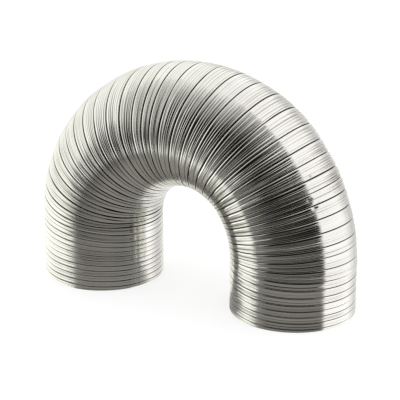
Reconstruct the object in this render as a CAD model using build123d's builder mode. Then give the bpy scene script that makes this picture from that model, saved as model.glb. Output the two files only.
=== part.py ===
from build123d import *
import math
import os

# Semi-rigid aluminium flexible air duct, nominal bore 100 mm, standing as an arch on its two
# open ends. One narrow corrugated strip is wound into a tube, and each turn is locked to the
# next by a folded seam. The seams are stiff hoops, and the corrugated web between them opens
# and closes, which is what lets the duct stretch and bend. The model divides the strip there:
# a chain of lock seams with a web between each two, and a cut turn at each open end.
#
# Origin: on the floor, midway between the two legs. +X runs from the left leg to the right
# leg, +Y to the back, +Z up. The duct's axis lies in the XZ plane.

# Section of the wall
BORE_R = 50.5  # roots of the corrugations and of the seams: the duct slides over a 100 mm spigot
SEAM_OUTER_R = 52.0  # folded seam, the largest radius of the duct
WEB_OUTER_R = 51.8  # crests of the corrugated web
SEAM_WIDTH = 1.6  # along the duct's axis
END_TURN_LENGTH = 6.0  # cut turn at each open end, which slides over a spigot

# Left leg, from the floor up
LEFT_WEBS = 5
LEFT_WEB_LENGTH = 8.3

# Arch, in three stretches of (number of webs, radius of the axis through each web)
WEB_TURN = 9.0  # degrees between two seams in the arch
ARCH = ((8, 79.0), (8, 77.0), (4, 104.0))

# Right leg, from the arch down to the floor. Its webs share the height that is left.
RIGHT_WEBS = 4

# The way along the axis is (x, z, heading), with the heading in degrees above +X.


def ahead(way, length):
    """The way after a straight run."""
    x, z, heading = way
    a = math.radians(heading)
    return x + length * math.cos(a), z + length * math.sin(a), heading


def bend_centre(way, radius):
    """The centre of a bend to the right of the heading."""
    x, z, heading = way
    a = math.radians(heading)
    return x + radius * math.sin(a), z - radius * math.cos(a)


def round_bend(way, radius):
    """The way after one web of the arch."""
    cx, cz = bend_centre(way, radius)
    heading = way[2] - WEB_TURN
    a = math.radians(heading)
    return cx - radius * math.sin(a), cz + radius * math.cos(a), heading


def along_the_axis(start_x):
    """Every piece in order, as (name, kind, way at its start, length or bend radius)."""
    pieces = []
    way = (start_x, 0.0, 90.0)
    pieces.append(("left_end_turn", "end", way, END_TURN_LENGTH))
    way = ahead(way, END_TURN_LENGTH)
    webs = [("straight", LEFT_WEB_LENGTH)] * LEFT_WEBS
    for count, radius in ARCH:
        webs += [("bent", radius)] * count
    for number, (shape, size) in enumerate(webs, start=1):
        pieces.append((f"corrugated_web_{number:02d}", shape, way, size))
        way = ahead(way, size) if shape == "straight" else round_bend(way, size)
        pieces.append((f"lock_seam_{number:02d}", "seam", way, SEAM_WIDTH))
        way = ahead(way, SEAM_WIDTH)
    height_left = way[1] - END_TURN_LENGTH - (RIGHT_WEBS - 1) * SEAM_WIDTH
    right_web_length = height_left / RIGHT_WEBS
    last = len(webs) + RIGHT_WEBS
    for number in range(len(webs) + 1, last + 1):
        pieces.append((f"corrugated_web_{number:02d}", "straight", way, right_web_length))
        way = ahead(way, right_web_length)
        if number < last:
            pieces.append((f"lock_seam_{number:02d}", "seam", way, SEAM_WIDTH))
            way = ahead(way, SEAM_WIDTH)
    pieces.append(("right_end_turn", "end", way, END_TURN_LENGTH))
    return pieces, ahead(way, END_TURN_LENGTH)


def section_plane(way):
    """The plane across the duct, with its normal along the heading."""
    x, z, heading = way
    a = math.radians(heading)
    return Plane(origin=(x, 0, z), x_dir=(0, 1, 0), z_dir=(math.cos(a), 0, math.sin(a)))


def hoop(way, length, outer_r):
    """A straight hoop: a seam, an end turn, or a web of a leg."""
    with BuildPart() as piece:
        with BuildSketch(section_plane(way)):
            Circle(outer_r)
            Circle(BORE_R, mode=Mode.SUBTRACT)
        extrude(amount=length)
    return piece


def bent_web(way, radius):
    """A web of the arch: short on the inner side of the bend and long on the outer side."""
    cx, cz = bend_centre(way, radius)
    with BuildPart() as piece:
        with BuildSketch(section_plane(way)):
            Circle(WEB_OUTER_R)
            Circle(BORE_R, mode=Mode.SUBTRACT)
        revolve(axis=Axis((cx, 0, cz), (0, 1, 0)), revolution_arc=WEB_TURN)
    return piece


_, floor_end = along_the_axis(0.0)
LEG_SPACING = floor_end[0]
pieces, _ = along_the_axis(-LEG_SPACING / 2)

os.makedirs("parts", exist_ok=True)
for name, kind, way, size in pieces:
    if kind == "bent":
        piece = bent_web(way, size)
    elif kind == "straight":
        piece = hoop(way, size, WEB_OUTER_R)
    else:
        piece = hoop(way, size, SEAM_OUTER_R)
    piece.part.label = name
    export_step(piece.part, f"parts/{name}.step")

print(f"{len(pieces)} pieces, legs {LEG_SPACING:.2f} mm apart")
for name, kind, way, size in pieces:
    print(f"{name}: {kind} {size:.3f}, at x {way[0]:.3f}, z {way[1]:.3f}, heading {way[2]:.1f}")
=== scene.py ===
import math

import bpy
import numpy as np
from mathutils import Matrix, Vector


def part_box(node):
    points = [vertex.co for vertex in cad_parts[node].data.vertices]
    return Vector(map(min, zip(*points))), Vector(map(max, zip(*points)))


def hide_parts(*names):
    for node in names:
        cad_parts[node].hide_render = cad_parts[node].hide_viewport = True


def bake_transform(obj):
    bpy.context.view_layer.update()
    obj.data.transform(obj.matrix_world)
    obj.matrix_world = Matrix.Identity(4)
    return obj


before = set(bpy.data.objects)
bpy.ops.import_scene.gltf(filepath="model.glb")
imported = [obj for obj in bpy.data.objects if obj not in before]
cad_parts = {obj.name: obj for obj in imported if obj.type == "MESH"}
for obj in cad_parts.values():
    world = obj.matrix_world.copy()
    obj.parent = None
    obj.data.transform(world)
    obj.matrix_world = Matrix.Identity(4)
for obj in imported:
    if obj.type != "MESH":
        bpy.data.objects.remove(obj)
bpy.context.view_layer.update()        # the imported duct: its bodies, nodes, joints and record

MM = 0.001


# ---------------------------------------------------------------- the duct's axis, from the frame

def ring_at(node):
    """Centre, unit axis (unsigned) and length along it of a CAD ring: a lock seam or an end turn."""
    low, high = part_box(node)
    centre = np.array((low + high) / 2)
    points = np.array([v.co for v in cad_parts[node].data.vertices]) - centre
    axis = np.linalg.svd(points, full_matrices=False)[2][-1]
    return centre, axis, float(np.ptp(points @ axis))


seam_names = sorted(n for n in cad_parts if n.startswith("lock_seam"))
ring_names = ["left_end_turn", *seam_names, "right_end_turn"]
web_names = sorted(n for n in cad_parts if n.startswith("corrugated_web"))
rings = [ring_at(n) for n in ring_names]
OUTER_R = max(abs(v.co.y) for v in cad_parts["lock_seam_01"].data.vertices)


def axis_knots():
    """The axis as knots at each ring's two faces: place along it, x, z and heading at each."""
    along, x, z, heading = [], [], [], []
    for i, (centre, axis, length) in enumerate(rings):
        other = rings[i + 1][0] if i + 1 < len(rings) else 2 * centre - rings[i - 1][0]
        axis = axis if axis @ (other - centre) > 0 else -axis
        angle = math.atan2(axis[2], axis[0])
        for side in (-1, 1):
            point = centre + axis * side * length / 2
            if not along:
                place = 0.0
            elif side == 1:
                place = along[-1] + length
            else:
                chord = math.hypot(point[0] - x[-1], point[2] - z[-1])
                half = (angle - heading[-1]) / 2
                place = along[-1] + chord / np.sinc(half / math.pi)
            along.append(place)
            x.append(point[0])
            z.append(point[2])
            heading.append(angle)
    return np.array(along), np.array(x), np.array(z), np.array(heading)


KNOTS, KNOT_X, KNOT_Z, KNOT_HEADING = axis_knots()
LENGTH = KNOTS[-1]


def on_axis(place):
    """x, z and heading of the axis at each place along it."""
    i = np.clip(np.searchsorted(KNOTS, place, side="right") - 1, 0, len(KNOTS) - 2)
    span = KNOTS[i + 1] - KNOTS[i]
    step = place - KNOTS[i]
    turn = (KNOT_HEADING[i + 1] - KNOT_HEADING[i]) * step / span
    chord = step * np.sinc(turn / 2 / math.pi)
    middle = KNOT_HEADING[i] + turn / 2
    return KNOT_X[i] + chord * np.cos(middle), KNOT_Z[i] + chord * np.sin(middle), KNOT_HEADING[i] + turn


# ---------------------------------------------------------------- how the strip is wound

# Seams along the axis from the left mouth, as (turns, mm of axis for each): pushed together in
# the legs, pulled out over the crown and the right shoulder, and uneven in between.
WINDING = (
    (8, 4.8), (2, 4.1), (1, 7.8), (2, 6.2), (3, 9.5), (2, 8.9), (2, 9.6), (3, 10.9), (3, 7.0),
    (7, 11.2), (1, 7.6), (2, 8.6), (1, 4.0), (3, 8.3), (1, 7.4), (1, 5.3), (1, 7.7), (2, 6.3),
    (1, 6.7), (5, 5.0),
)
EVEN_OUT = 3.0 * MM  # length over which one pitch turns into the next
CURVE_EVEN_OUT = 6.0 * MM  # and over which one bend turns into the next
PAST_MOUTH = 30 * MM  # the winding is worked out this far past both mouths, and then cut there
FINE = 0.2 * MM

grid = np.arange(-PAST_MOUTH, LENGTH + PAST_MOUTH, FINE)


def smooth(values, width):
    """A bell-shaped running mean along the grid."""
    reach = np.arange(-int(3 * width / FINE), int(3 * width / FINE) + 1) * FINE
    bell = np.exp(-0.5 * (reach / width) ** 2)
    padded = np.pad(values, len(reach) // 2, mode="edge")
    return np.convolve(padded, bell / bell.sum(), mode="valid")


wound = sum(turns * pitch for turns, pitch in WINDING)
ends = np.cumsum([0] + [turns * pitch for turns, pitch in WINDING]) * LENGTH / wound
pitches = np.array([pitch for _, pitch in WINDING]) * LENGTH / wound
grid_pitch = pitches[np.clip(np.searchsorted(ends, grid) - 1, 0, len(pitches) - 1)]
grid_pitch = smooth(grid_pitch, EVEN_OUT)
grid_turns = np.cumsum(FINE / grid_pitch)
grid_turns -= np.interp(0, grid, grid_turns)
TURNS = float(np.interp(LENGTH, grid, grid_turns))
grid_heading = np.unwrap(on_axis(np.clip(grid, 0, LENGTH))[2])
grid_curve = smooth(-np.gradient(grid_heading, FINE), CURVE_EVEN_OUT)

# The seams' planes lean ahead of the bend on the outer side, most over the left shoulder.
LEAN = 6.5 * MM
LEAN_PLACES = np.array([0, 20, 48, 120, 200, 270, 400]) * MM
LEAN_SHARES = np.array([0, 0.1, 1.0, 0.8, 0.65, 0.05, 0.0])
LEAN_EVEN_OUT = 8 * MM
grid_lean = smooth(LEAN * np.interp(grid, LEAN_PLACES, LEAN_SHARES), LEAN_EVEN_OUT)

# ---------------------------------------------------------------- the strip's section

# The folded seam from its gap on, as (mm from the fold, mm below the crests, share of painted shade):
# the gap, and the long round shoulder after it.
SEAM_AFTER = (
    (0.0, 0.55, 0.8), (0.06, 1.15, 1.0), (0.2, 1.5, 1.0), (0.56, 1.5, 1.0), (0.7, 1.05, 1.0),
    (0.8, 0.6, 0.5), (1.1, 0.38, 0.0), (1.5, 0.16, 0.0), (1.9, 0.04, 0.0), (2.3, 0.0, 0.0),
)
SEAM_BEFORE = ((-1.1, 0.10, 0.0), (-0.7, 0.02, 0.0), (-0.3, 0.04, 0.0), (-0.12, 0.16, 0.15))
SEAM_GAP = 0.7  # mm, the gap's own width where the strip is pulled out
GAP_UNEVEN = 0.3  # how much wider or narrower it gets along the strip
CLOSED_GAP = 0.38  # share of the gap that is left where the strip is pushed together
CLOSED_SHOULDER = 0.35  # and of the shoulder's depth
CLOSED_PITCH, OPEN_PITCH = 5.0, 11.0  # mm, where the strip counts as pushed together and as pulled out
FULL_BEND = 0.5  # outer radius over the bend's radius, where the strip counts as bent
BENT_OPENS = 0.6  # a bend opens the seams at least this much on every side
SEAM_SHARE = 0.5  # of the pitch, the most that a seam takes where the strip is closed up
LEAST_SHRINK = 0.05
LEAST_SIDE = 0.3  # of the axis's pitch, the least that is left on the inner side of a bend

# Rows of each corrugation, as (share of its width, share of its depth, share of painted shade): a broad
# crest, a sharp fold down and an even slope up again
WAVE = (
    (0.0, 0.0, 0.0), (0.2, 0.0, 0.0), (0.4, 0.05, 0.0), (0.5, 0.16, 0.1), (0.55, 0.55, 0.6),
    (0.6, 1.0, 0.8), (0.66, 1.0, 0.7), (0.74, 0.72, 0.1), (0.86, 0.3, 0.0), (0.94, 0.08, 0.0),
)
# Each corrugation between two seams, as (share of the width, depth over width) where the strip is pulled
# out, and the same where it is closed up: there one fold stays open and the others lie flat
CORRUGATIONS = (
    (0.19, 0.17, 0.14, 0.0), (0.2, 0.22, 0.14, 0.0), (0.22, 0.17, 0.46, 0.5),
    (0.19, 0.22, 0.14, 0.0), (0.2, 0.15, 0.12, 0.0),
)
NARROW_WAVE, WIDE_WAVE = 0.7, 1.8  # mm, the mean width of a corrugation closed up and pulled out
SEAM_TO_WAVE = 0.04  # of the width between two seams, the flat next to the shoulder
WIDTH_UNEVEN = 0.3
STRENGTH_UNEVEN, LEAST_STRENGTH, MOST_STRENGTH = 0.75, 0.2, 1.65
DEEPER_FROM, DEEPER_OVER, DEEPER = 2.5, 0.8, 0.6  # mm, mm and share: the widest corrugations are deeper
LEG_STEEP = 0.15  # share of its steepness that a closed corrugation keeps where the duct is straight
TILT = 0.04  # mm of tilt for each mm of a corrugation's width
CREST_DROP = 0.05  # mm from the seam's crest down to the corrugations' crests
FULL_SHADE_DEPTH = 0.3  # mm, the depth from which a fold's painted shade is as dark as it gets
OPEN_FOLD_LESS_SHADE = 0.45  # share of painted shade that a pulled out fold loses
CREST_AT = 0.1  # share of a corrugation's width where its crest stands highest
ROCK_STRAIGHT, ROCK_BENT, ROCK_PITCH = 0.065, 0.035, 8.0  # tilt of a whole turn, and mm of pitch it grows to
SINK = 0.12  # mm that a whole turn lies deeper or less deep
UNEVEN = 0.16 * MM  # long waves over the whole duct
UNEVEN_WAVES = 9

# The folds stand up in teeth on the outside of the right shoulder, where the strip is pulled out furthest
TEETH = 0.6 * MM
TEETH_ANGLE = math.radians(20)  # their middle, round the axis towards the back
TEETH_EDGE, TEETH_FADE = 0.8, 0.12  # cosine from that middle where they start, and over which they grow
TEETH_PLACES = np.array([235, 255, 295, 310]) * MM
TEETH_SHARES = np.array([0, 1, 1, 0])
# Small dents, as (mm along the axis, degrees round it from the outside of the bend, mm across, mm deep)
DENTS = ((303, -36, 1.3, 0.7), (301.5, -31, 1.0, 0.5), (298, -38, 1.1, 0.4), (286, -27, 0.8, 0.4))
FOIL = 0.25 * MM
STRIP_WIDTH = 33 * MM
COLUMNS = 144
ROWS = len(SEAM_AFTER) + len(CORRUGATIONS) * len(WAVE) + len(SEAM_BEFORE)


DRAWS = 4000  # more than the most changes over the whole strip
TURNS_BEFORE = 8  # more than the turns that the strip begins before the left mouth


def wander(strip_turns, each_turn, seed):
    """Smooth random values from -1 to 1 along the strip, with so many changes in each turn."""
    draws = np.random.default_rng(seed).uniform(-1, 1, DRAWS)
    at = (strip_turns + TURNS_BEFORE) * each_turn
    whole = np.floor(at).astype(int)
    part = at - whole
    part = part * part * (3 - 2 * part)
    return draws[whole] * (1 - part) + draws[whole + 1] * part


def clipped(values, start, over):
    """0 up to start, 1 from start + over on, and even in between."""
    return np.clip((values - start) / over, 0, 1)


def wave_widths(wound_to, wide):
    """Share of the room between two seams that each corrugation takes."""
    widths = []
    for index, (when_open, _, when_closed, _) in enumerate(CORRUGATIONS):
        uneven = 1 + WIDTH_UNEVEN * wander(wound_to, 0.8, 300 + index)
        widths.append((when_open * wide + when_closed * (1 - wide)) * uneven)
    widths = np.stack(widths)
    return widths / widths.sum(axis=0)


def strip_rows():
    """Phase, place along the axis, depth below the crests, painted shade and crest share of every vertex."""
    first, last = -2, int(TURNS) + 2
    angle = np.arange(COLUMNS) * 2 * math.pi / COLUMNS
    turn = np.arange(first, last + 1)[:, None]
    wound_to = turn + angle / (2 * math.pi)
    start = np.interp(wound_to, grid_turns, grid)
    finish = np.interp(wound_to + 1, grid_turns, grid)
    middle = (start + finish) / 2
    lean = np.interp(middle, grid, grid_lean)
    curve = np.interp(middle + lean * np.cos(angle), grid, grid_curve)
    pitch = (finish - start) * np.maximum(1 + curve * OUTER_R * np.cos(angle), LEAST_SIDE) / MM
    bent = clipped(np.abs(curve) * OUTER_R, 0, FULL_BEND)
    opened = np.maximum(clipped(pitch, CLOSED_PITCH, OPEN_PITCH - CLOSED_PITCH), BENT_OPENS * bent)
    gap = SEAM_GAP * (CLOSED_GAP + (1 - CLOSED_GAP) * opened)
    gap = gap * (1 + GAP_UNEVEN * wander(wound_to, 1.3, 7))
    seam = SEAM_AFTER[-1][0] - SEAM_BEFORE[0][0] - SEAM_GAP
    shrink = np.clip((SEAM_SHARE * pitch - gap) / seam, LEAST_SHRINK, 1)
    rows = []

    def add_row(*fields):
        """One row of vertices: its share of the pitch, its depth, its painted shade and its share of a
        crest.
        """
        rows.append([np.broadcast_to(field, pitch.shape) for field in fields])

    for off, below, painted_shade in SEAM_AFTER:
        if off > SEAM_GAP:
            below = below * (CLOSED_SHOULDER + (1 - CLOSED_SHOULDER) * opened)
        off = off * gap / SEAM_GAP if off < SEAM_GAP else gap + (off - SEAM_GAP) * shrink
        add_row(off / pitch, below, painted_shade, 0.0)
    low = (gap + (SEAM_AFTER[-1][0] - SEAM_GAP) * shrink) / pitch
    high = 1 + SEAM_BEFORE[0][0] * shrink / pitch
    room = (high - low) * pitch
    wide = clipped(room / len(CORRUGATIONS), NARROW_WAVE, WIDE_WAVE - NARROW_WAVE)
    widths = wave_widths(wound_to, wide)
    starts = np.cumsum(widths, axis=0) - widths
    for index, (_, steep_opened, _, steep_closed) in enumerate(CORRUGATIONS):
        own = widths[index] * room
        strength = 1 + STRENGTH_UNEVEN * wander(wound_to, 1.7, 100 + index)
        strength = np.clip(strength, LEAST_STRENGTH, MOST_STRENGTH)
        strength = strength * (1 + DEEPER * clipped(own, DEEPER_FROM, DEEPER_OVER))
        steep_closed = steep_closed * (LEG_STEEP + (1 - LEG_STEEP) * bent)
        waves = own * (steep_opened * wide + steep_closed * (1 - wide)) * strength
        tilt = TILT * own * wander(wound_to, 3, 200 + index)
        for at, below, painted_shade in WAVE:
            inside = SEAM_TO_WAVE + (1 - SEAM_TO_WAVE) * (starts[index] + at * widths[index])
            # The third field is painted shade at the fold's bottom: more in deep, narrow folds, less where
            # the strip is pulled out
            add_row(
                low + (high - low) * inside,
                CREST_DROP + waves * below + tilt * math.sin(2 * math.pi * at),
                painted_shade * clipped(waves, 0, FULL_SHADE_DEPTH) * (1 - OPEN_FOLD_LESS_SHADE * wide),
                math.cos(2 * math.pi * (at - CREST_AT)),
            )
    for off, below, painted_shade in SEAM_BEFORE:
        add_row(1 + off * shrink / pitch, below, painted_shade, 0.0)
    share, depth, shade_amount, ridge = (np.stack([row[k] for row in rows], axis=1) for k in range(4))
    rock = (ROCK_STRAIGHT + (ROCK_BENT - ROCK_STRAIGHT) * bent) * np.minimum(pitch, ROCK_PITCH)
    rock = rock * wander(wound_to, 1, 6)
    sink = SINK * (1 + wander(wound_to, 1, 5))
    depth = depth + sink[:, None, :] + rock[:, None, :] * (share - 0.5)
    phase = turn[:, :, None] + share + angle / (2 * math.pi)
    places = np.interp(phase, grid_turns, grid)
    places = places + np.interp(places, grid, grid_lean) * np.cos(angle)
    fields = phase, places, depth * MM, shade_amount, ridge
    return *(field.reshape(-1, COLUMNS) for field in fields), angle


def noise_round(places, angle, waves, seed):
    """Smooth unevenness from -1 to 1 over the duct: a few long waves along and round it."""
    draw = np.random.default_rng(seed)
    total = 0
    for _ in range(waves):
        along = draw.uniform(-40, 40)
        around = draw.integers(-3, 4)
        total = total + np.sin(places * along + around * angle + draw.uniform(0, 2 * math.pi))
    return total / math.sqrt(waves)


def cut_to_length(places, *others):
    """Slides the rows next to each mouth onto its plane. Returns which row each vertex uses."""
    row = np.arange(len(places))[:, None]
    first = (places < 0).sum(axis=0) - 1
    last = (places <= LENGTH).sum(axis=0)
    column = np.arange(places.shape[1])
    for edge, inner, outer in ((0.0, first + 1, first), (LENGTH, last - 1, last)):
        share = (edge - places[inner, column]) / (places[outer, column] - places[inner, column])
        for field in others:
            here, beyond = field[inner, column], field[outer, column]
            field[outer, column] = here + share * (beyond - here)
        places[outer, column] = edge
    return np.clip(row, first, last)


def round_from(angle, degrees):
    """Distance round the duct from a side, in metres: below 0 before it and above 0 after it."""
    return OUTER_R * ((angle - math.radians(degrees) + math.pi) % (2 * math.pi) - math.pi)


def build_strip():
    """Vertices of the strip's two faces, and the place, phase, painted shade and row used of each pair."""
    phase, places, depth, shade_amount, ridge, angle = strip_rows()
    used = cut_to_length(places, phase, depth, shade_amount, ridge)
    depth = np.maximum(depth + UNEVEN * (noise_round(places, angle, UNEVEN_WAVES, 11) + 1), 0)
    outside_bend = clipped(np.cos(angle - TEETH_ANGLE), TEETH_EDGE, TEETH_FADE)
    depth = depth - TEETH * ridge * outside_bend * np.interp(places, TEETH_PLACES, TEETH_SHARES)
    for place, degrees, across, deep in DENTS:
        away = (places - place * MM) ** 2 + round_from(angle, degrees) ** 2
        near = np.exp(-away / (across * MM) ** 2)
        depth = depth + deep * MM * near
        # Each dent also gets painted shade
        shade_amount = np.maximum(shade_amount, near)
    x, z, heading = on_axis(np.clip(places, 0, LENGTH))
    radius = OUTER_R - depth
    out = radius * np.cos(angle)
    side = radius * np.sin(angle)
    points = np.stack([x - np.sin(heading) * out, side, z + np.cos(heading) * out], axis=-1)
    inner = (radius - FOIL) / radius
    axis_points = np.stack([x, np.zeros_like(x), z], axis=-1)
    inside = axis_points + (points - axis_points) * inner[..., None]
    return points, inside, places, phase, shade_amount, used


outside, inside, places, phase, shade_amount, used = build_strip()


def quads_of_strip():
    """Vertex numbers of every quad, facing outwards. A turn's last column meets the next turn's first."""
    number = used * COLUMNS + np.arange(COLUMNS)
    around = np.empty_like(number)
    around[:, :-1] = number[:, 1:]
    around[:, -1] = np.append(number[ROWS:, 0], np.full(ROWS, -1))
    low, high = number[:-1], number[1:]
    low_on, high_on = around[:-1], around[1:]
    quads = np.stack([low, high, high_on, low_on], axis=-1).reshape(-1, 4)
    quads = quads[(quads >= 0).all(axis=1)]
    return quads[(quads[:, 0] != quads[:, 1]) | (quads[:, 2] != quads[:, 3])]


quads = quads_of_strip()
flat_places = places.reshape(-1)
flat_out, flat_in = outside.reshape(-1, 3), inside.reshape(-1, 3)


def to_unit(vectors):
    return vectors / np.maximum(np.linalg.norm(vectors, axis=1, keepdims=True), 1e-20)


def face_normals(points, faces):
    """Each quad's normal, as long as twice its area."""
    a, b, c, d = (points[faces[:, k]] for k in range(4))
    return np.cross(c - a, d - b)


def vertex_normals(points, faces):
    """Each vertex's unit normal, from the quads round it by their areas."""
    normal = face_normals(points, faces)
    total = np.zeros_like(points)
    for k in range(4):
        np.add.at(total, faces[:, k], normal)
    return to_unit(total)


normals_out = vertex_normals(flat_out, quads)
normals_in = -vertex_normals(flat_in, quads)

# ---------------------------------------------------------------- materials


def node(tree, kind, place=(0, 0), **values):
    made = tree.nodes.new(kind)
    made.location = place
    for key, value in values.items():
        setattr(made, key, value)
    return made


def link(tree, a, out, b, into):
    tree.links.new(a.outputs[out], b.inputs[into])


def empty_material(name):
    """A material with no nodes yet, and its tree."""
    material = bpy.data.materials.new(name)
    material.use_nodes = True
    material.node_tree.nodes.clear()
    return material, material.node_tree


def ramp(tree, source, start, end, low=0.0, high=1.0, kind="SMOOTHSTEP"):
    """A step of a value, from low at start to high at end."""
    made = node(tree, "ShaderNodeMapRange", interpolation_type=kind)
    for key, value in (("From Min", start), ("From Max", end), ("To Min", low), ("To Max", high)):
        made.inputs[key].default_value = value
    tree.links.new(source, made.inputs["Value"])
    return made.outputs["Result"]


GRAIN = (14, 2600, 1)  # streaks for each metre along the strip and across it
CLOUDS = 26.0  # changes of tone and sheen for each metre
# Painted shade: a dark colour mixed into the foil at the folds' bottoms, the seam gaps and the dents, where
# shade falls
FOLD_SHADE_COLOUR = (0.055, 0.052, 0.045, 1)
FOLD_SHADE_EDGE = 1.6  # power that draws the painted shade back into the folds
SCUFF = 0.05  # roughness that the grain adds
GRAIN_BUMP, GRAIN_DEPTH = 0.3, 0.00001


def foil_material(name, bright, dull, rough):
    """Bare aluminium strip: rolled grain along the strip, uneven sheen, painted shade in the folds."""
    material = bpy.data.materials.new(name)
    material.use_nodes = True
    tree = material.node_tree
    shader = tree.nodes["Principled BSDF"]
    shader.inputs["Metallic"].default_value = 1.0
    strip = node(tree, "ShaderNodeAttribute", (-1500, 0), attribute_name="strip")
    fold_shade = node(tree, "ShaderNodeAttribute", (-1500, -500), attribute_name="fold_shade")
    stretch = node(tree, "ShaderNodeMapping", (-1300, 0))
    stretch.inputs["Scale"].default_value = GRAIN
    grain = node(tree, "ShaderNodeTexNoise", (-1100, 0))
    grain.inputs["Scale"].default_value = 1.0
    grain.inputs["Detail"].default_value = 4.0
    link(tree, strip, "Vector", stretch, "Vector")
    link(tree, stretch, "Vector", grain, "Vector")
    cloud = node(tree, "ShaderNodeTexNoise", (-1100, 300))
    cloud.inputs["Scale"].default_value = CLOUDS
    cloud.inputs["Detail"].default_value = 3.0
    coord = node(tree, "ShaderNodeTexCoord", (-1500, 300))
    link(tree, coord, "Object", cloud, "Vector")
    tone = node(tree, "ShaderNodeValToRGB", (-800, 300))
    for stop, place, colour in zip(tone.color_ramp.elements, (0.32, 0.66), (dull, bright)):
        stop.position, stop.color = place, (*colour, 1)
    link(tree, cloud, "Fac", tone, "Fac")
    streak = ramp(tree, grain.outputs["Fac"], 0.3, 0.7, 0.90, 1.0, "LINEAR")
    toned = node(tree, "ShaderNodeMix", (-560, 240), data_type="RGBA", blend_type="MULTIPLY")
    toned.inputs["Factor"].default_value = 1.0
    link(tree, tone, "Color", toned, 6)
    tree.links.new(streak, toned.inputs[7])
    # Painted shade: the dark colour is mixed into the base colour where the folds, seam gaps and dents are
    # deep
    painted_shade = node(tree, "ShaderNodeMix", (-320, 200), data_type="RGBA", blend_type="MIX")
    painted_shade.inputs[7].default_value = FOLD_SHADE_COLOUR
    much = node(tree, "ShaderNodeMath", (-560, -460), operation="POWER")
    much.inputs[1].default_value = FOLD_SHADE_EDGE
    link(tree, fold_shade, "Fac", much, 0)
    link(tree, much, 0, painted_shade, "Factor")
    link(tree, toned, 2, painted_shade, 6)
    link(tree, painted_shade, 2, shader, "Base Color")
    polish = ramp(tree, cloud.outputs["Fac"], 0.25, 0.75, rough * 0.75, rough * 1.5, "LINEAR")
    scuffed = node(tree, "ShaderNodeMath", (-320, -40), operation="MULTIPLY_ADD")
    link(tree, grain, "Fac", scuffed, 0)
    scuffed.inputs[1].default_value = SCUFF
    tree.links.new(polish, scuffed.inputs[2])
    link(tree, scuffed, 0, shader, "Roughness")
    bump = node(tree, "ShaderNodeBump", (-320, -300))
    bump.inputs["Strength"].default_value = GRAIN_BUMP
    bump.inputs["Distance"].default_value = GRAIN_DEPTH
    link(tree, grain, "Fac", bump, "Height")
    link(tree, bump, "Normal", shader, "Normal")
    return material


foil = foil_material("rolled_aluminium", (0.93, 0.925, 0.885), (0.85, 0.845, 0.80), 0.08)

# ---------------------------------------------------------------- the duct's wall, one piece for each web

middles = (KNOTS[0::2] + KNOTS[1::2]) / 2
piece_of_quad = np.searchsorted(middles[1:-1], flat_places[quads].mean(axis=1))
strip_along = (phase * 2 * math.pi * OUTER_R).reshape(-1)
strip_row = np.repeat(np.arange(len(places)), COLUMNS)
strip_across = strip_row / ROWS * STRIP_WIDTH


def wall_piece(index):
    """One web's stretch of the strip, with both faces of the foil and closed edges."""
    faces = quads[piece_of_quad == index]
    kept, faces = np.unique(faces, return_inverse=True)
    faces = faces.reshape(-1, 4)
    count = len(kept)
    edges = np.concatenate([faces[:, [k, (k + 1) % 4]] for k in range(4)])
    edges = edges[edges[:, 0] != edges[:, 1]]
    key = edges[:, 0] * count + edges[:, 1]
    back = edges[:, 1] * count + edges[:, 0]
    rim = edges[~np.isin(key, back)]
    inner = faces[:, ::-1] + count
    walls = np.stack([rim[:, 1], rim[:, 0], rim[:, 0] + count, rim[:, 1] + count], axis=-1)
    points = np.concatenate([flat_out[kept], flat_in[kept]])
    every = np.concatenate([faces, inner, walls])
    corner_normals = np.concatenate([normals_out[kept], normals_in[kept]])[every]
    corner_normals[len(faces) * 2:] = to_unit(face_normals(points, walls))[:, None, :]
    same = (every == np.roll(every, -1, axis=1)).any(axis=1)  # quads with two corners in one place
    name = f"duct_wall_{index + 1:02d}"
    mesh = bpy.data.meshes.new(name)
    polygons = every[~same].tolist()
    loop_normals = corner_normals[~same].reshape(-1, 3)
    if same.any():
        thin, thin_normals = [], []
        for face, around in zip(every[same], corner_normals[same]):
            keep = face != np.roll(face, -1)
            if keep.sum() == 3:
                thin.append(face[keep].tolist())
                thin_normals.append(around[keep])
        polygons += thin
        loop_normals = np.concatenate([loop_normals, *thin_normals])
    mesh.from_pydata(points.tolist(), [], polygons)
    mesh.polygons.foreach_set("use_smooth", np.ones(len(mesh.polygons), bool))
    mesh.normals_split_custom_set(loop_normals)
    strip = mesh.attributes.new("strip", "FLOAT_VECTOR", "POINT")
    values = np.stack([strip_along[kept], strip_across[kept], np.zeros(count)], axis=-1)
    strip.data.foreach_set("vector", np.concatenate([values, values]).astype(np.float32).ravel())
    # The painted shade of the folds, seam gaps and dents, which the material darkens by
    fold_shade = mesh.attributes.new("fold_shade", "FLOAT", "POINT")
    dark = shade_amount.reshape(-1)[kept]
    fold_shade.data.foreach_set("value", np.concatenate([dark, dark]).astype(np.float32))
    mesh.materials.append(foil)
    piece = bpy.data.objects.new(name, mesh)
    bpy.context.scene.collection.objects.link(piece)
    return piece, flat_places[kept]


for index, web in enumerate(web_names):
    piece, here = wall_piece(index)
    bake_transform(piece)
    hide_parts(web, ring_names[index + 1])
    if index == 0:
        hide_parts(ring_names[0])

# ---------------------------------------------------------------- the studio

VIEW_AZIMUTH, VIEW_ELEVATION = math.radians(27.9), math.radians(19.2)
VIEW_DISTANCE = 1.0988
TARGET = Vector((4.4 * MM, 0, 79.0 * MM))
LENS, SENSOR = 118.55, 36
SPAN = float(KNOT_X[-1] - KNOT_X[0])
WORLD_LIGHT = 1.12
FLOOR_HALF, FLOOR_TONE, FLOOR_LIGHT = 12.0, 0.38, 0.7

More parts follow.
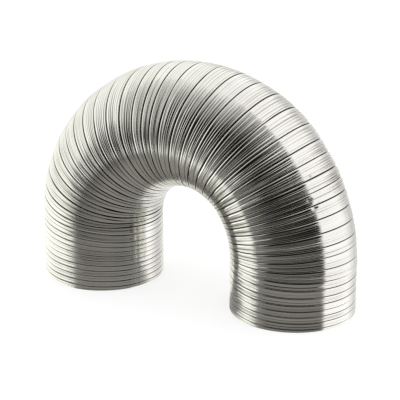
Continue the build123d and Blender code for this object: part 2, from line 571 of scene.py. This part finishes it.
# The dome that the metal mirrors: its light, and the share of it that is left in each darker zone.
# A pair is (at the bottom, at the top) of a zone.
DOME_RADIUS, DOME_HEIGHT = 0.85, 0.09
SOFTBOX, SOFTBOX_ABOVE = 1.12, 1.02
BEHIND_LEFT, SLOT_LEFT = 0.78, 0.8
GREY_LEFT, GAP_LEFT = (0.12, 0.55), (1.0, 0.014)
FAR_FLOOR = 0.17
LEFT_TINT, RIGHT_TINT, WARM_TINT = (1.0, 1.0, 0.95), (1.0, 0.985, 0.985), (1.0, 0.965, 0.86)
# The grey zone's left edge leans above the first elevation and, down to SLANT_MOST more, below the second
SLANT_HIGH, SLANT_LOW, SLANT_MOST = 20, -8, -15
SLANT_ABOVE, SLANT_UNDER = 1.2, 0.75
# The floor as the metal mirrors it: a veil's light, half size and fade across, and the dark patch's light
VEIL, VEIL_HALF, VEIL_FADE = 0.09, (0.45, 0.27), (0.26, 0.14)
PATCH_LIGHT = 0.26


def towards(azimuth, elevation):
    """Unit vector from the duct outwards, from radians. Azimuth 0 is -Y, and it grows towards +X."""
    level = math.cos(elevation)
    return Vector((math.sin(azimuth) * level, -math.cos(azimuth) * level, math.sin(elevation)))


def make_camera():
    data = bpy.data.cameras.new("camera")
    data.lens, data.sensor_width = LENS, SENSOR
    camera = bpy.data.objects.new("camera", data)
    bpy.context.scene.collection.objects.link(camera)
    back = towards(VIEW_AZIMUTH, VIEW_ELEVATION)
    camera.location = TARGET + back * VIEW_DISTANCE
    camera.rotation_euler = (-back).to_track_quat("-Z", "Y").to_euler()
    data.clip_start, data.clip_end = 0.01, 50
    bpy.context.scene.camera = camera


def step(tree, angle, start, end, low=0.0, high=1.0):
    """A smooth step of an angle, from low at start degrees to high at end degrees."""
    return ramp(tree, angle, math.radians(start), math.radians(end), low, high)


def math_of(tree, operation, a, b=None):
    """What a Math node gives. Each value is a socket or a plain number."""
    made = node(tree, "ShaderNodeMath", operation=operation)
    for index, value in enumerate((a, b)):
        if value is None:
            continue
        if isinstance(value, (int, float)):
            made.inputs[index].default_value = value
        else:
            tree.links.new(value, made.inputs[index])
    return made.outputs[0]


def product(tree, *values):
    """The values multiplied together."""
    total = values[0]
    for value in values[1:]:
        total = math_of(tree, "MULTIPLY", total, value)
    return total


def dimmed(tree, light, mask, left):
    """The light, brought down to left of itself where the mask is 1."""
    less = math_of(tree, "SUBTRACT", left, 1.0)
    return product(tree, light, math_of(tree, "ADD", product(tree, mask, less), 1.0))


def from_azimuth(tree, azimuth, middle):
    """How far round an azimuth is from the middle one, which is in degrees, whichever way is shorter."""
    turned = math_of(tree, "ADD", azimuth, math.radians(180 - middle))
    opposite = math_of(tree, "SUBTRACT", math_of(tree, "ABSOLUTE", turned), math.radians(180))
    return math_of(tree, "ABSOLUTE", opposite)


def tinted(tree, factor, colour_a, colour_b):
    """A mix of two colours. The first may be a socket."""
    made = node(tree, "ShaderNodeMix", data_type="RGBA")
    if isinstance(colour_a, tuple):
        made.inputs[6].default_value = (*colour_a, 1)
    else:
        tree.links.new(colour_a, made.inputs[6])
    made.inputs[7].default_value = (*colour_b, 1)
    tree.links.new(factor, made.inputs["Factor"])
    return made.outputs[2]


def surface(tree, shader):
    """Makes a shader the material's surface."""
    link(tree, shader, 0, node(tree, "ShaderNodeOutputMaterial"), "Surface")


def rectangle(name, half_x, half_y):
    """A flat mesh about the origin."""
    mesh = bpy.data.meshes.new(name)
    corners = [(-half_x, -half_y, 0), (half_x, -half_y, 0), (half_x, half_y, 0), (-half_x, half_y, 0)]
    mesh.from_pydata(corners, [], [(0, 1, 2, 3)])
    return mesh


def only_in_reflections(thing):
    """A thing that the metal mirrors and nothing else sees, so that the floor and its shade stay plain."""
    thing.visible_camera = False
    thing.visible_diffuse = False
    thing.visible_shadow = False
    thing.visible_transmission = False


def dome_directions(tree):
    """Azimuth and elevation of each point of the dome, as in towards()."""
    unit = node(tree, "ShaderNodeVectorMath", operation="NORMALIZE")
    link(tree, node(tree, "ShaderNodeTexCoord"), "Object", unit, 0)
    split = node(tree, "ShaderNodeSeparateXYZ")
    link(tree, unit, 0, split, 0)
    forwards = product(tree, split.outputs["Y"], -1.0)
    azimuth = math_of(tree, "ARCTAN2", split.outputs["X"], forwards)
    return azimuth, math_of(tree, "ARCSINE", split.outputs["Z"])


def slanted(tree, azimuth, elevation):
    """The azimuth that the grey zone's left edge follows: it leans above SLANT_HIGH and below SLANT_LOW."""
    above = math_of(tree, "SUBTRACT", elevation, math.radians(SLANT_HIGH))
    above = math_of(tree, "MAXIMUM", above, 0.0)
    under = math_of(tree, "ADD", elevation, math.radians(-SLANT_LOW))
    under = math_of(tree, "MAXIMUM", math_of(tree, "MINIMUM", under, 0.0), math.radians(SLANT_MOST))
    slant = math_of(tree, "ADD", azimuth, product(tree, above, SLANT_ABOVE))
    return math_of(tree, "ADD", slant, product(tree, under, SLANT_UNDER))


def studio_dome():
    """What the metal mirrors: soft light all round, a grey zone at the front left, a dark gap in front
    and the floor far below. The steps are in degrees of azimuth and elevation."""
    material, tree = empty_material("studio_dome")
    azimuth, elevation = dome_directions(tree)
    light = step(tree, elevation, 35, 80, SOFTBOX, SOFTBOX_ABOVE)
    # Behind the duct, low down, the light is a little weaker, and so is the slot at its right edge.
    off_front = from_azimuth(tree, azimuth, 8)
    behind = product(tree, step(tree, off_front, 118, 142), step(tree, elevation, 38, 12))
    light = product(tree, light, ramp(tree, behind, 0.0, 1.0, 1.0, BEHIND_LEFT))
    slot = product(tree, step(tree, azimuth, 146, 154), step(tree, elevation, 45, 20))
    light = product(tree, light, ramp(tree, slot, 0.0, 1.0, 1.0, SLOT_LEFT))
    # The grey zone and the dark gap are at the front, and both get lighter or darker with height.
    slant = slanted(tree, azimuth, elevation)
    grey = product(tree, step(tree, slant, -52, -41), step(tree, azimuth, 84, 76))
    grey = product(tree, grey, step(tree, elevation, 88, 60))
    light = dimmed(tree, light, grey, step(tree, elevation, -15, 35, *GREY_LEFT))
    gap = product(tree, step(tree, azimuth, -30, -14), step(tree, azimuth, 82, 77))
    gap = product(tree, gap, step(tree, elevation, 74, 28))
    light = dimmed(tree, light, gap, step(tree, elevation, -30, 0, *GAP_LEFT))
    # Far below, the metal mirrors the floor that the duct itself shades.
    off_gap = from_azimuth(tree, azimuth, -8)
    below = product(tree, step(tree, elevation, -27, -38), step(tree, off_gap, 150, 125))
    light = product(tree, light, math_of(tree, "SUBTRACT", 1.0, below))
    light = math_of(tree, "ADD", product(tree, below, FAR_FLOOR), light)
    tint = tinted(tree, step(tree, azimuth, -60, 60), LEFT_TINT, RIGHT_TINT)
    tint = tinted(tree, math_of(tree, "MAXIMUM", gap, below), tint, WARM_TINT)
    glow = node(tree, "ShaderNodeEmission")
    tree.links.new(tint, glow.inputs["Color"])
    tree.links.new(light, glow.inputs["Strength"])
    surface(tree, glow)
    centre = (0, 0, DOME_HEIGHT)
    bpy.ops.mesh.primitive_uv_sphere_add(segments=64, ring_count=32, radius=DOME_RADIUS, location=centre)
    dome = bpy.context.object
    dome.name = "studio_dome"
    dome.data.materials.append(material)
    only_in_reflections(dome)


def floor_glow():
    """The lit floor close to the duct, as the metal sees it: a faint veil over the dome."""
    material, tree = empty_material("floor_glow")
    split = node(tree, "ShaderNodeSeparateXYZ")
    link(tree, node(tree, "ShaderNodeNewGeometry"), "Position", split, 0)
    out_from = math_of(tree, "ABSOLUTE", split.outputs["Y"])
    glow = node(tree, "ShaderNodeEmission")
    glow.inputs["Color"].default_value = (1.0, 0.97, 0.92, 1)
    tree.links.new(ramp(tree, out_from, *VEIL_FADE, 0.0, VEIL), glow.inputs["Strength"])
    both = node(tree, "ShaderNodeAddShader")
    link(tree, glow, 0, both, 0)
    link(tree, node(tree, "ShaderNodeBsdfTransparent"), 0, both, 1)
    surface(tree, both)
    mesh = rectangle("floor_glow", *VEIL_HALF)
    mesh.materials.append(material)
    veil = bpy.data.objects.new("floor_glow", mesh)
    bpy.context.scene.collection.objects.link(veil)
    veil.location = (0, 0, -0.5 * MM)
    only_in_reflections(veil)


def floor_between():
    """The shaded floor in front of the legs, as the metal sees it."""
    material, tree = empty_material("floor_between")
    length = node(tree, "ShaderNodeVectorMath", operation="LENGTH")
    link(tree, node(tree, "ShaderNodeTexCoord"), "Object", length, 0)
    shade = node(tree, "ShaderNodeEmission")
    shade.inputs["Color"].default_value = (1.0, 0.98, 0.93, 1)
    shade.inputs["Strength"].default_value = PATCH_LIGHT
    both = node(tree, "ShaderNodeMixShader")
    tree.links.new(ramp(tree, length.outputs["Value"], 0.5, 1.0), both.inputs[0])
    link(tree, shade, 0, both, 1)
    link(tree, node(tree, "ShaderNodeBsdfTransparent"), 0, both, 2)
    surface(tree, both)
    centre = (0, -0.6 * OUTER_R, 0.3 * MM)
    bpy.ops.mesh.primitive_circle_add(vertices=64, radius=1.0, fill_type="NGON", location=centre)
    patch = bpy.context.object
    patch.name = "floor_between"
    patch.scale = (0.45 * SPAN, 0.7 * OUTER_R, 1)
    patch.data.materials.append(material)
    only_in_reflections(patch)


def make_floor():
    """The plain white floor that is seen. The metal doesn't mirror it."""
    mesh = rectangle("floor", FLOOR_HALF, FLOOR_HALF)
    white = bpy.data.materials.new("white_floor")
    white.use_nodes = True
    shader = white.node_tree.nodes["Principled BSDF"]
    shader.inputs["Base Color"].default_value = (FLOOR_TONE, FLOOR_TONE, FLOOR_TONE, 1)
    shader.inputs["Roughness"].default_value = 0.9
    shader.inputs["Emission Color"].default_value = (1, 1, 1, 1)
    shader.inputs["Emission Strength"].default_value = FLOOR_LIGHT
    shader.inputs["Specular IOR Level"].default_value = 0.0
    mesh.materials.append(white)
    floor = bpy.data.objects.new("floor", mesh)
    bpy.context.scene.collection.objects.link(floor)
    floor.visible_glossy = False


def make_studio():
    scene = bpy.context.scene
    scene.view_settings.view_transform = "Standard"
    world = bpy.data.worlds.new("studio")
    world.use_nodes = True
    background = world.node_tree.nodes["Background"]
    background.inputs["Color"].default_value = (1.0, 1.0, 1.0, 1)
    background.inputs["Strength"].default_value = WORLD_LIGHT
    scene.world = world
    make_floor()
    studio_dome()
    floor_glow()
    floor_between()


make_camera()
make_studio()
